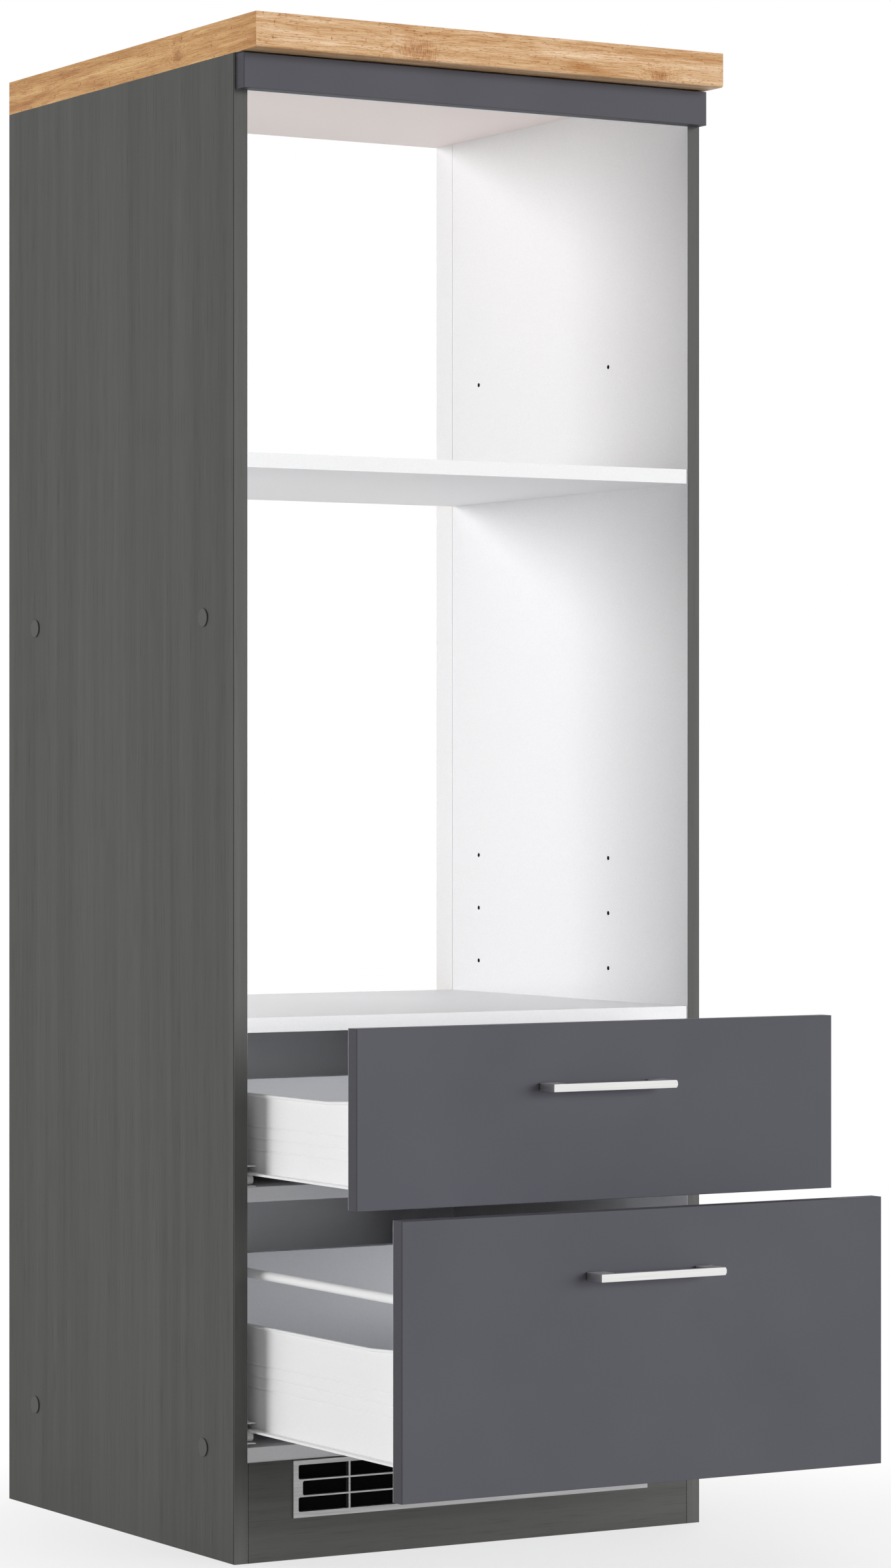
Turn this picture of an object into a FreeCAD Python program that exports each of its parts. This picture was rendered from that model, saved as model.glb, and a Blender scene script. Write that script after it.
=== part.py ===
import FreeCAD, Part
import os

from FreeCAD import Vector

os.makedirs("parts", exist_ok=True)

# Driving dimensions, in millimetres. The origin is on the floor, in the middle of the carcass's front plane:
# +X to the right, +Y to the back, +Z up.

# Carcass
cabinet_width = 600.0
cabinet_height = 1660.0
carcass_depth = 552.0
board = 16.0
worktop_thickness = 38.0
worktop_overhang = 48.0
worktop_edge_radius = 3.0
bottom_panel_height = 108.0
divider_height = 388.0
oven_floor_height = 570.0
shelf_height = 1178.0
cross_panel_setback = 1.0

# Back panel of the drawer compartment, in a groove of each side
back_thickness = 3.0
back_setback = 37.0
groove_depth = 8.0
groove_clearance = 0.3
back_edge_cover = 2.0

# Fascia under the worktop and the rail behind it
fascia_height = 38.0
fascia_gap = 1.5
rail_cover = 1.5

# Drawer fronts
front_thickness = 18.0
front_reveal = 2.0
front_gap = 2.8
front_split_rise = 1.0
front_standoff = 2.0
front_edge_radius = 1.0
bumper_radius = 4.0
bumper_inset = 12.0
bumper_clearance = 0.3

# Plinth and its ventilation grille
grille_width = 457.0
grille_height = 61.9
grille_top_gap = 1.3
grille_proud = 2.0
grille_insert_depth = 4.0
grille_insert_clearance = 0.5
grille_side_border = 6.3
grille_top_border = 4.8
grille_bottom_border = 6.3
grille_row_bar = 1.7
grille_column_bar = 2.2
grille_rows = 3
grille_columns = 7
grille_row_shift = 5.3
slot_corner_radius = 2.2
window_margin = 3.5
mesh_thickness = 0.8

# Shelf pin holes in the sides
pin_hole_radius = 2.5
pin_hole_depth = 11.0
pin_front_setback = 164.5
pin_spacing = 288.0
oven_pin_rise = 37.5
oven_pin_pitch = 64.0
oven_pin_rows = 3
microwave_pin_rise = 128.5

# Cover caps on the outside of the sides
cap_radius = 10.0
cap_thickness = 1.5
cap_edge_radius = 0.7
cap_stem_radius = 4.0
cap_stem_length = 6.0
cap_setback = 70.0
cap_low_height = 118.0
cap_high_height = 1018.0

# Dowels
dowel_radius = 4.0
dowel_length = 30.0
dowel_in_side = 8.0
dowel_in_worktop = 12.0
worktop_dowel_count = 3
dowel_setback = 45.0
plinth_dowel_inset = 28.0
dowel_clearance = 0.1
dowel_end_gap = 0.5

# Screws
screw_radius = 1.75
screw_length = 12.5
screw_head_radius = 3.5
screw_head_height = 1.4
screw_clearance = 0.1
screw_tip_gap = 0.5
fascia_screw_length = 28.0
fascia_screw_inset = 60.0
fascia_screw_count = 3
handle_screw_radius = 2.0
handle_screw_head_radius = 4.0
handle_screw_head_height = 2.4
handle_screw_grip = 10.0

# Angle brackets that hold the worktop
angle_width = 20.0
angle_leg = 20.0
angle_thickness = 1.5
angle_setback = 70.0

# Runners and rollers
steel = 1.2
drawer_side_gap = 13.0
runner_setback = 3.0
runner_flange_clearance = 1.2
upper_runner_lift = 0.2
lower_runner_lift = 3.7
runner_screw_inset = 34.0
runner_screw_count = 3
running_gap = 0.3
front_roller_radius = 5.5
rear_roller_radius = 10.0
roller_width = 6.5
roller_wall_gap = 2.0
axle_radius = 2.0
axle_clearance = 0.08
axle_collar_radius = 3.2
axle_head_radius = 3.5
axle_head_height = 0.6
axle_end_play = 0.2
front_axle_inset = 11.0
rear_axle_inset = 18.0
stop_height = 5.0
stop_gap = 0.5

# Drawers: how far each stands open, and their steel walls and boards
upper_opening = 239.0
lower_opening = 330.0
drawer_overlap = 125.0
drawer_rear_clearance = 8.4
upper_wall_height = 87.5
lower_wall_height = 115.0
upper_first_rib = 26.7
lower_first_rib = 47.0
rib_pitch = 12.5
rib_count = 3
rib_depth = 0.7
rib_half_height = 1.6
rim_height = 3.4
rim_reach = 2.0
rim_edge_radius = 1.4
rim_rise = 5.0
rim_rise_length = 90.0
lip_reach = 8.6
lip_cutback = 36.0
wall_flange = 30.0
drawer_board = 16.0
drawer_board_clearance = 0.3
upper_back_drop = 1.0
tab_width = 26.0
fixing_height = 46.0
fixing_lift = 6.0
fixing_screw_inset = 12.0
bracket_width = 22.0
bracket_length = 45.0
bracket_thickness = 1.5
roller_tab_drop = 6.0
roller_tab_length = 28.0
base_screw_inset = 80.0
base_screw_count = 3

# Round gallery rails of the lower drawer
gallery_radius = 5.2
gallery_rise = 54.5
gallery_clearance = 0.1
gallery_seat = 8.0
socket_margin = 3.5
socket_length = 12.0
socket_foot = 16.0

# Bow handles
handle_length = 155.0
handle_height = 8.2
handle_projection = 30.0
handle_bar_depth = 6.0
handle_foot_width = 20.5
handle_hole_inset = 13.5
handle_drop = 66.0
handle_end_bulge = 1.7
spacer_thickness = 2.0
spacer_inset = 1.0

# Places worked out from those
half_width = cabinet_width / 2
inner_x = half_width - board
side_top = cabinet_height - worktop_thickness
groove_width = back_thickness + 2 * groove_clearance
groove_front = carcass_depth - back_setback - groove_width
fascia_top = side_top - fascia_gap
fascia_bottom = fascia_top - fascia_height
rail_bottom = fascia_bottom + rail_cover
plinth_height = bottom_panel_height
grille_top = plinth_height - grille_top_gap
grille_bottom = grille_top - grille_height
front_half_width = half_width - front_reveal
front_split = divider_height + board / 2 + front_split_rise
drawer_length = groove_front - runner_setback - drawer_rear_clearance
full_extension = drawer_length - drawer_overlap
wall_x = inner_x - drawer_side_gap
wall_inner_x = wall_x - steel
roller_x = wall_x + roller_wall_gap
runner_height = 2 * (running_gap + rear_roller_radius + steel)
rail_lift = steel + 2 * (running_gap + front_roller_radius)
sides = {"left": -1, "right": 1}
same_place = 1e-6


def box(x0, x1, y0, y1, z0, z1):
    """A block between two corners, given in any order along X."""
    low, high = sorted((x0, x1))
    return Part.makeBox(high - low, y1 - y0, z1 - z0, Vector(low, y0, z0))


def rod(radius, start, direction, length):
    """A round bar from a point along a unit direction."""
    return Part.makeCylinder(radius, length, start, direction)


def prism(points, sweep):
    """A straight extrusion of a closed polygon."""
    wire = Part.makePolygon(points + [points[0]])
    return Part.Face(wire).extrude(sweep)


def cut_all(shape, tools):
    """The shape with a list of tools taken away."""
    return shape.cut(Part.makeCompound(tools)) if tools else shape


def save(name, *solids):
    """One file per named piece; like fasteners share a file as separate solids."""
    shape = solids[0] if len(solids) == 1 else Part.makeCompound(list(solids))
    shape.exportStep(f"parts/{name}.step")


def evenly(first, last, count):
    """Places shared out evenly from the first to the last."""
    return [first + (last - first) * i / (count - 1) for i in range(count)]


# Fasteners

def screw(seat, direction, length=screw_length, radius=screw_radius,
          head_radius=screw_head_radius, head_height=screw_head_height):
    """A round-headed screw: its head stands on the seat and its shank runs along the direction."""
    head = rod(head_radius, seat - direction * head_height, direction, head_height)
    return head.fuse(rod(radius, seat, direction, length)).removeSplitter()


def pilot(seat, direction, length=screw_length, radius=screw_radius):
    """The hole that a screw of the same length needs."""
    return rod(radius + screw_clearance, seat, direction, length + screw_tip_gap)


def dowel(start, direction):
    return rod(dowel_radius, start, direction, dowel_length)


def dowel_hole(start, direction):
    return rod(dowel_radius + dowel_clearance, start - direction * dowel_end_gap, direction,
               dowel_length + 2 * dowel_end_gap)


panel_heights = {
    "bottom_panel": bottom_panel_height,
    "drawer_divider": divider_height,
    "oven_floor_panel": oven_floor_height,
    "microwave_shelf": shelf_height,
}


def dowel_places():
    """Start and direction of every dowel between the boards."""
    ends = []
    for height in panel_heights.values():
        for y in (dowel_setback, groove_front - dowel_setback):
            ends.append((y, height + board / 2))
    for z in (plinth_dowel_inset, plinth_height - plinth_dowel_inset):
        ends.append((board / 2, z))
    ends.append((board / 2, (rail_bottom + side_top) / 2))
    places = []
    for side in sides.values():
        for y, z in ends:
            places.append((Vector(side * (inner_x + dowel_in_side), y, z), Vector(-side, 0, 0)))
        for y in evenly(dowel_setback, carcass_depth - dowel_setback, worktop_dowel_count):
            start = Vector(side * (half_width - board / 2), y, side_top + dowel_in_worktop)
            places.append((start, Vector(0, 0, -1)))
    return places


dowel_holes = [dowel_hole(*place) for place in dowel_places()]


# Carcass boards

def cap_places(side):
    """Centre of each cover cap on a side's outer face."""
    return [Vector(side * half_width, y, z)
            for y in (cap_setback, carcass_depth - cap_setback)
            for z in (cap_low_height, cap_high_height)]


def pin_holes(side):
    """Blind holes for shelf pins, from the side's inner face."""
    floor = oven_floor_height + board
    rows = [floor + oven_pin_rise + i * oven_pin_pitch for i in range(oven_pin_rows)]
    rows.append(shelf_height + board + microwave_pin_rise)
    return [rod(pin_hole_radius, Vector(side * inner_x, y, z), Vector(side, 0, 0), pin_hole_depth)
            for y in (pin_front_setback, pin_front_setback + pin_spacing)
            for z in rows]


def angle_screws(side):
    """Seat and direction of the two screws of a worktop bracket."""
    middle = angle_setback + angle_width / 2
    reach = (angle_leg + angle_thickness) / 2
    up = Vector(side * (inner_x - reach), middle, side_top - angle_thickness)
    out = Vector(side * (inner_x - angle_thickness), middle, side_top - reach)
    return [(up, Vector(0, 0, 1)), (out, Vector(side, 0, 0))]


def side_panel(side):
    panel = box(side * inner_x, side * half_width, 0, carcass_depth, 0, side_top)
    groove = box(side * inner_x, side * (inner_x + groove_depth), groove_front, groove_front + groove_width,
                 0, side_top)
    caps = [rod(cap_stem_radius + dowel_clearance, centre, Vector(-side, 0, 0),
                cap_stem_length + dowel_end_gap)
            for centre in cap_places(side)]
    screws = [pilot(*place) for drawer in drawers for place in runner_screw_places(drawer, side)]
    screws += [pilot(*place) for place in angle_screws(side)]
    return cut_all(panel, [groove] + caps + screws + pin_holes(side) + dowel_holes)


def cover_caps():
    """A low round disc with a stem that is pushed into the side."""
    caps = []
    for side in sides.values():
        out = Vector(side, 0, 0)
        for centre in cap_places(side):
            disc = rod(cap_radius, centre, out, cap_thickness)
            rim = [e for e in disc.Edges if abs(e.CenterOfMass.x) > half_width + cap_thickness * 0.9]
            disc = disc.makeFillet(cap_edge_radius, rim)
            stem = rod(cap_stem_radius, centre - out * cap_stem_length, out, cap_stem_length)
            caps.append(disc.fuse(stem).removeSplitter())
    return caps


def cross_panel(height):
    panel = box(-inner_x, inner_x, cross_panel_setback, groove_front, height, height + board)
    return cut_all(panel, dowel_holes)


def worktop():
    slab = box(-half_width, half_width, -worktop_overhang, carcass_depth, side_top, cabinet_height)
    lower_front = [e for e in slab.Edges
                   if abs(e.CenterOfMass.y + worktop_overhang) < same_place
                   and abs(e.CenterOfMass.z - side_top) < same_place]
    slab = slab.makeFillet(worktop_edge_radius, lower_front)
    pilots = [pilot(*angle_screws(side)[0]) for side in sides.values()]
    return cut_all(slab, pilots + dowel_holes)


def back_panel():
    reach = inner_x + groove_depth - groove_clearance
    y = groove_front + groove_clearance
    return box(-reach, reach, y, y + back_thickness, bottom_panel_height + back_edge_cover,
               oven_floor_height + board - back_edge_cover)


# Fascia, its rail and the worktop brackets

def fascia_screw_places():
    z = (rail_bottom + fascia_top) / 2
    return [(Vector(x, board, z), Vector(0, -1, 0))
            for x in evenly(fascia_screw_inset - inner_x, inner_x - fascia_screw_inset, fascia_screw_count)]


fascia_pilots = [pilot(*place, length=fascia_screw_length) for place in fascia_screw_places()]


def round_front(shape, y):
    """Eases the edges around the front face of a board."""
    edges = [e for e in shape.Edges if abs(e.CenterOfMass.y - y) < same_place]
    return shape.makeFillet(front_edge_radius, edges)


def fascia_panel():
    panel = box(-front_half_width, front_half_width, -front_thickness, 0, fascia_bottom, fascia_top)
    return cut_all(round_front(panel, -front_thickness), fascia_pilots)


def top_front_rail():
    return cut_all(box(-inner_x, inner_x, 0, board, rail_bottom, side_top), fascia_pilots + dowel_holes)


def worktop_angle(side):
    y0, y1 = angle_setback, angle_setback + angle_width
    flat = box(side * (inner_x - angle_leg), side * inner_x, y0, y1, side_top - angle_thickness, side_top)
    upright = box(side * (inner_x - angle_thickness), side * inner_x, y0, y1, side_top - angle_leg, side_top)
    return cut_all(flat.fuse(upright).removeSplitter(), [pilot(*place) for place in angle_screws(side)])


# Plinth

def window(clearance, y0, y1):
    """The ventilation opening of the plinth, drawn in by a clearance."""
    inset = window_margin + clearance
    return box(inset - grille_width / 2, grille_width / 2 - inset, y0, y1,
               grille_bottom + inset, grille_top - inset)


def plinth_board():
    plank = box(-inner_x, inner_x, 0, board, 0, plinth_height)
    return cut_all(plank, [window(0, 0, board)] + dowel_holes)


def grille_slots():
    """Rows of slots between thin bars; the middle row starts further in at both ends."""
    clear_height = grille_height - grille_top_border - grille_bottom_border
    slot_height = (clear_height - (grille_rows - 1) * grille_row_bar) / grille_rows
    widest = grille_width / 2 - grille_side_border
    column = 2 * widest / grille_columns
    slots = []
    for row in range(grille_rows):
        z0 = grille_bottom + grille_bottom_border + row * (slot_height + grille_row_bar)
        shift = grille_row_shift if row % 2 else 0
        for i in range(grille_columns):
            first, last = i == 0, i == grille_columns - 1
            x0 = -widest + shift if first else -widest + i * column + grille_column_bar / 2
            x1 = widest - shift if last else -widest + (i + 1) * column - grille_column_bar / 2
            slot = box(x0, x1, -grille_proud, grille_insert_depth, z0, z0 + slot_height)
            outer = [x for x, at_end in ((x0, first), (x1, last)) if at_end]
            corners = [e for e in slot.Edges if abs(e.tangentAt(e.FirstParameter).y) > 0.5
                       and any(abs(e.CenterOfMass.x - x) < same_place for x in outer)]
            slots.append(slot.makeFillet(slot_corner_radius, corners) if corners else slot)
    return slots


def vent_grille():
    frame = box(-grille_width / 2, grille_width / 2, -grille_proud, 0, grille_bottom, grille_top)
    insert = window(grille_insert_clearance, 0, grille_insert_depth)
    return cut_all(frame.fuse(insert).removeSplitter(), grille_slots())


def vent_mesh():
    return window(grille_insert_clearance, grille_insert_depth, grille_insert_depth + mesh_thickness)


# Drawers. Lengths inside a drawer are measured backwards from the rear face of its front.

class Drawer:
    """Heights and places of one drawer, as it stands in the cabinet."""

    def __init__(self, name, floor, lift, opening, wall_height, first_rib, front_low, front_high):
        self.name = name
        self.runner_z = floor + lift
        self.base = self.runner_z + rail_lift
        self.opening = opening
        self.rear_of_front = -front_standoff - opening
        self.rim = self.base + wall_height
        self.first_rib = self.base + first_rib
        self.front_low = front_low
        self.front_high = front_high
        self.handle_z = front_high - handle_drop
        self.floor_top = self.base + steel + drawer_board
        self.fixing_z = self.floor_top + fixing_lift
        self.gallery_z = self.rim + gallery_rise
        self.back_top = self.rim - upper_back_drop

    def y(self, length):
        return self.rear_of_front + length


upper = Drawer("upper_drawer", divider_height + board, upper_runner_lift, upper_opening,
               upper_wall_height, upper_first_rib, front_split + front_gap / 2,
               oven_floor_height + board)
lower = Drawer("lower_drawer", bottom_panel_height + board, lower_runner_lift, lower_opening,
               lower_wall_height, lower_first_rib, bottom_panel_height + front_reveal,
               front_split - front_gap / 2)
lower.back_top = lower.gallery_z + gallery_radius + socket_margin / 2
drawers = (upper, lower)


def runner_screw_places(drawer, side):
    z = drawer.runner_z + runner_height / 2
    first = runner_setback + runner_screw_inset
    last = runner_setback + drawer_length - runner_screw_inset
    return [(Vector(side * (inner_x - steel), y, z), Vector(side, 0, 0))
            for y in evenly(first, last, runner_screw_count)]


def runner(drawer, side):
    """A C-shaped steel track on the cabinet's side, with a stop for the rear roller at full extension."""
    y0, y1 = runner_setback, runner_setback + drawer_length
    z0 = drawer.runner_z
    z1 = z0 + runner_height
    edge = wall_x + runner_flange_clearance
    web = box(side * (inner_x - steel), side * inner_x, y0, y1, z0, z1)
    floor = box(side * edge, side * inner_x, y0, y1, z0, z0 + steel)
    roof = box(side * edge, side * inner_x, y0, y1, z1 - steel, z1)
    rear_roller_out = drawer_length - rear_axle_inset - front_standoff - full_extension
    stop_y = rear_roller_out - rear_roller_radius - stop_gap
    stop = box(side * roller_x, side * (roller_x + roller_width), stop_y - steel, stop_y,
               z0, z0 + steel + stop_height)
    track = web.fuse([floor, roof, stop]).removeSplitter()
    return cut_all(track, [pilot(*place) for place in runner_screw_places(drawer, side)])


def front_roller_centre(drawer, side):
    return Vector(side * roller_x, runner_setback + front_axle_inset,
                  drawer.base - running_gap - front_roller_radius)


def rear_roller_centre(drawer, side):
    return Vector(side * roller_x, drawer.y(drawer_length - rear_axle_inset),
                  drawer.runner_z + steel + running_gap + rear_roller_radius)


def roller(centre, side, radius):
    out = Vector(side, 0, 0)
    bore = rod(axle_radius + axle_clearance, centre, out, roller_width)
    return rod(radius, centre, out, roller_width).cut(bore)


def axle(centre, side, collar_x, toward):
    """A riveted pin through a roller: a collar from its seat, a plain shank and a flat head beyond."""
    near = roller_x + (roller_width if toward < 0 else 0)
    far = roller_x + (0 if toward < 0 else roller_width)
    step = Vector(side * toward, 0, 0)
    seat = Vector(side * collar_x, centre.y, centre.z)
    collar_length = abs(near - collar_x) - axle_end_play
    shank_length = abs(far - collar_x) + axle_end_play
    collar = rod(axle_collar_radius, seat, step, collar_length)
    shank = rod(axle_radius, seat, step, shank_length)
    head = rod(axle_head_radius, seat + step * shank_length, step, axle_head_height)
    return collar.fuse([shank, head]).removeSplitter()


def front_axle(drawer, side):
    return axle(front_roller_centre(drawer, side), side, inner_x - steel, -1)


def rear_axle(drawer, side):
    return axle(rear_roller_centre(drawer, side), side, wall_x, 1)


def base_screw_places(drawer, side):
    x = side * (wall_inner_x - wall_flange / 2)
    return [(Vector(x, drawer.y(length), drawer.base), Vector(0, 0, 1))
            for length in evenly(base_screw_inset, drawer_length - base_screw_inset, base_screw_count)]


def fixing_heights(drawer):
    return [drawer.fixing_z + fixing_screw_inset, drawer.fixing_z + fixing_height - fixing_screw_inset]


def bracket_screw_places(drawer, side):
    x = side * (wall_inner_x - bracket_width / 2 - bracket_thickness)
    return [(Vector(x, drawer.y(bracket_thickness), z), Vector(0, -1, 0)) for z in fixing_heights(drawer)]


def back_screw_places(drawer, side):
    x = side * (wall_inner_x - tab_width / 2)
    return [(Vector(x, drawer.y(drawer_length + steel), z), Vector(0, -1, 0)) for z in fixing_heights(drawer)]


def drawer_screw_places(drawer):
    return [place for side in sides.values()
            for places in (base_screw_places, bracket_screw_places, back_screw_places)
            for place in places(drawer, side)]


def drawer_pilots(drawer):
    return [pilot(*place) for place in drawer_screw_places(drawer)]


def wall_section(drawer, side):
    """The rolled sheet seen from its end: upright, with shallow ribs pressed inwards."""
    heights = [drawer.first_rib + i * rib_pitch for i in range(rib_count)]
    outer = [(0, drawer.base)]
    for z in heights:
        outer += [(0, z - rib_half_height), (rib_depth, z), (0, z + rib_half_height)]
    outer.append((0, drawer.rim + rim_rise))
    inner = [(depth + steel, z) for depth, z in reversed(outer)]
    return [Vector(side * (wall_x - depth), drawer.y(0), z) for depth, z in outer + inner]


def rim_line(drawer, drop):
    """The wall's top edge: level, then climbing over its front stretch."""
    return [(0, drawer.rim + rim_rise - drop), (rim_rise_length, drawer.rim - drop),
            (drawer_length + steel, drawer.rim - drop)]


def drawer_wall(drawer, side):
    """White steel drawer side: ribbed web, rolled rim, hemmed lip outside, board flange inside, rear tabs."""
    full = drawer_length + steel
    web = prism(wall_section(drawer, side), Vector(0, full, 0))
    below_rim = rim_line(drawer, rim_height / 2) + [(full, drawer.base), (0, drawer.base)]
    outline = [Vector(side * wall_x, drawer.y(length), z) for length, z in below_rim]
    web = web.common(prism(outline, Vector(-side * (steel + rib_depth), 0, 0)))
    band = rim_line(drawer, 0) + rim_line(drawer, rim_height)[::-1]
    rim_outer = side * (wall_x + rim_reach)
    rim = prism([Vector(rim_outer, drawer.y(length), z) for length, z in band],
                Vector(-side * (rim_reach + steel), 0, 0))
    long_edges = [e for e in rim.Edges if abs(e.CenterOfMass.x - rim_outer) < same_place
                  and abs(e.tangentAt(e.FirstParameter).y) > 0.5]
    rim = rim.makeFillet(rim_edge_radius, long_edges)
    lip = box(side * wall_inner_x, side * (wall_x + lip_reach),
              drawer.y(0), drawer.y(drawer_length - lip_cutback),
              drawer.base, drawer.base + 2 * steel)
    flange = box(side * (wall_inner_x - wall_flange), side * wall_x, drawer.y(0), drawer.y(drawer_length),
                 drawer.base, drawer.base + steel)
    back_tab = box(side * (wall_inner_x - tab_width), side * wall_x, drawer.y(drawer_length), drawer.y(full),
                   drawer.fixing_z, drawer.fixing_z + fixing_height)
    axle_z = rear_roller_centre(drawer, side).z
    tab_y = drawer.y(drawer_length - rear_axle_inset) - roller_tab_length / 2
    roller_tab = box(side * wall_inner_x, side * wall_x, tab_y, tab_y + roller_tab_length,
                     axle_z - roller_tab_drop, drawer.base + steel)
    wall = web.fuse([rim, lip, flange, back_tab, roller_tab]).removeSplitter()
    return cut_all(wall, drawer_pilots(drawer))


def drawer_base(drawer):
    reach = wall_inner_x - rib_depth - drawer_board_clearance
    plank = box(-reach, reach, drawer.y(0), drawer.y(drawer_length), drawer.base + steel, drawer.floor_top)
    return cut_all(plank, drawer_pilots(drawer))


def drawer_back(drawer):
    reach = wall_inner_x - rib_depth - drawer_board_clearance
    plank = box(-reach, reach, drawer.y(drawer_length - drawer_board), drawer.y(drawer_length),
                drawer.floor_top, drawer.back_top)
    return cut_all(plank, drawer_pilots(drawer))


def front_bracket(drawer, side):
    """Steel angle that hooks the wall to the drawer front."""
    z0, z1 = drawer.fixing_z, drawer.fixing_z + fixing_height
    edge = wall_inner_x - rib_depth
    leg = box(side * (edge - bracket_thickness), side * edge, drawer.y(0), drawer.y(bracket_length), z0, z1)
    plate = box(side * (edge - bracket_width), side * edge, drawer.y(0), drawer.y(bracket_thickness), z0, z1)
    return cut_all(leg.fuse(plate).removeSplitter(), drawer_pilots(drawer))


def handle_screw_places(drawer):
    x = handle_length / 2 - handle_hole_inset
    return [(Vector(side * x, drawer.y(0), drawer.handle_z), Vector(0, -1, 0)) for side in sides.values()]


def handle_screw_length():
    return front_thickness + spacer_thickness + handle_screw_grip


def handle_pilots(drawer):
    return [pilot(*place, length=handle_screw_length(), radius=handle_screw_radius)
            for place in handle_screw_places(drawer)]


def drawer_front(drawer):
    panel = box(-front_half_width, front_half_width, drawer.y(-front_thickness), drawer.y(0),
                drawer.front_low, drawer.front_high)
    panel = round_front(panel, drawer.y(-front_thickness))
    return cut_all(panel, drawer_pilots(drawer) + handle_pilots(drawer))


def bumper(drawer, side, z):
    """Soft round pad on the back of a front, where it meets the edge of the cabinet's side."""
    seat = Vector(side * (half_width - board / 2), drawer.y(0), z)
    return rod(bumper_radius, seat, Vector(0, 1, 0), front_standoff - bumper_clearance)


def handle(drawer):
    """A flat bow: a straight bar and two broad feet, square at the left end and rounded at the right end."""
    face = drawer.y(-front_thickness)
    half = handle_length / 2
    y = face - handle_projection
    z0 = drawer.handle_z - handle_height / 2
    z1 = drawer.handle_z + handle_height / 2
    corners = [Vector(half - handle_end_bulge, y, z1), Vector(-half, y, z1),
               Vector(-half, y, z0), Vector(half - handle_end_bulge, y, z0)]
    end = Part.Arc(corners[3], Vector(half, y, drawer.handle_z), corners[0]).toShape()
    outline = Part.Wire(Part.makePolygon(corners).Edges + [end])
    bow = Part.Face(outline).extrude(Vector(0, handle_projection - spacer_thickness, 0))
    grip = half - handle_foot_width
    bow = bow.cut(box(-grip, grip, y + handle_bar_depth, face, z0, z1))
    return cut_all(bow, handle_pilots(drawer))


def handle_spacer(drawer, side):
    """Thin dark pad between a handle's foot and the front."""
    face = drawer.y(-front_thickness)
    half = handle_length / 2
    tall = handle_height / 2 - spacer_inset
    pad = box(side * (half - handle_foot_width + spacer_inset),
              side * (half - handle_end_bulge - spacer_inset),
              face - spacer_thickness, face, drawer.handle_z - tall, drawer.handle_z + tall)
    return cut_all(pad, handle_pilots(drawer))


# Gallery rails

def gallery_rail(drawer, side):
    last = drawer_length - drawer_board - socket_length + gallery_seat
    return rod(gallery_radius, Vector(side * (wall_x - steel / 2), drawer.y(socket_length - gallery_seat),
                                      drawer.gallery_z), Vector(0, 1, 0), last - socket_length + gallery_seat)


def gallery_socket(drawer, side, start):
    """A moulded block that holds a rail's end; its foot reaches in over the board it is fixed to."""
    centre_x = wall_x - steel / 2
    half = gallery_radius + socket_margin
    block = box(side * (centre_x - half - socket_foot), side * (centre_x + half), drawer.y(start),
                drawer.y(start + socket_length), drawer.gallery_z - half, drawer.gallery_z + half)
    blind = socket_length - gallery_seat
    seat = drawer.y(start + blind if start == 0 else start)
    hole = rod(gallery_radius + gallery_clearance, Vector(side * centre_x, seat, drawer.gallery_z),
               Vector(0, 1, 0), gallery_seat)
    return block.cut(hole)


# Every piece, written to its own file

for name, side in sides.items():
    save(f"{name}_side_panel", side_panel(side))
for name, height in panel_heights.items():
    save(name, cross_panel(height))
save("worktop", worktop())
save("back_panel", back_panel())
save("joint_dowels", *[dowel(*place) for place in dowel_places()])
save("side_cover_caps", *cover_caps())
save("top_front_rail", top_front_rail())
save("fascia_panel", fascia_panel())
save("fascia_screws", *[screw(*place, length=fascia_screw_length) for place in fascia_screw_places()])
save("worktop_brackets", *[worktop_angle(side) for side in sides.values()])
save("worktop_bracket_screws", *[screw(*place) for side in sides.values() for place in angle_screws(side)])
save("plinth_board", plinth_board())
save("plinth_vent_grille", vent_grille())
save("plinth_vent_mesh", vent_mesh())

pairs = [(drawer, side) for drawer in drawers for side in sides.values()]
save("runner_screws", *[screw(*place) for pair in pairs for place in runner_screw_places(*pair)])
save("runner_roller_axles", *[front_axle(*pair) for pair in pairs])

for drawer in drawers:
    level = drawer.name.split("_")[0]
    for name, side in sides.items():
        save(f"{level}_{name}_runner", runner(drawer, side))
        save(f"{level}_{name}_front_roller",
             roller(front_roller_centre(drawer, side), side, front_roller_radius))
        save(f"{level}_{name}_rear_roller",
             roller(rear_roller_centre(drawer, side), side, rear_roller_radius))
        save(f"{drawer.name}_{name}_wall", drawer_wall(drawer, side))
    save(f"{drawer.name}_roller_axles", *[rear_axle(drawer, side) for side in sides.values()])
    save(f"{drawer.name}_front", drawer_front(drawer))
    save(f"{drawer.name}_base", drawer_base(drawer))
    save(f"{drawer.name}_back", drawer_back(drawer))
    save(f"{drawer.name}_front_brackets", *[front_bracket(drawer, side) for side in sides.values()])
    save(f"{drawer.name}_screws", *[screw(*place) for place in drawer_screw_places(drawer)])
    bumper_heights = (drawer.front_low + bumper_inset, drawer.front_high - bumper_inset)
    save(f"{drawer.name}_bumpers",
         *[bumper(drawer, side, z) for side in sides.values() for z in bumper_heights])
    save(f"{drawer.name}_handle", handle(drawer))
    save(f"{drawer.name}_handle_spacers", *[handle_spacer(drawer, side) for side in sides.values()])
    save(f"{drawer.name}_handle_screws",
         *[screw(*place, length=handle_screw_length(), radius=handle_screw_radius,
                 head_radius=handle_screw_head_radius, head_height=handle_screw_head_height)
           for place in handle_screw_places(drawer)])

for name, side in sides.items():
    save(f"lower_drawer_{name}_gallery_rail", gallery_rail(lower, side))
rear_socket_start = drawer_length - drawer_board - socket_length
save("lower_drawer_rail_sockets", *[gallery_socket(lower, side, start)
                                    for side in sides.values() for start in (0, rear_socket_start)])
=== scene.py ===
"""An oven housing cabinet with two drawers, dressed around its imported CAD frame."""
import math

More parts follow.
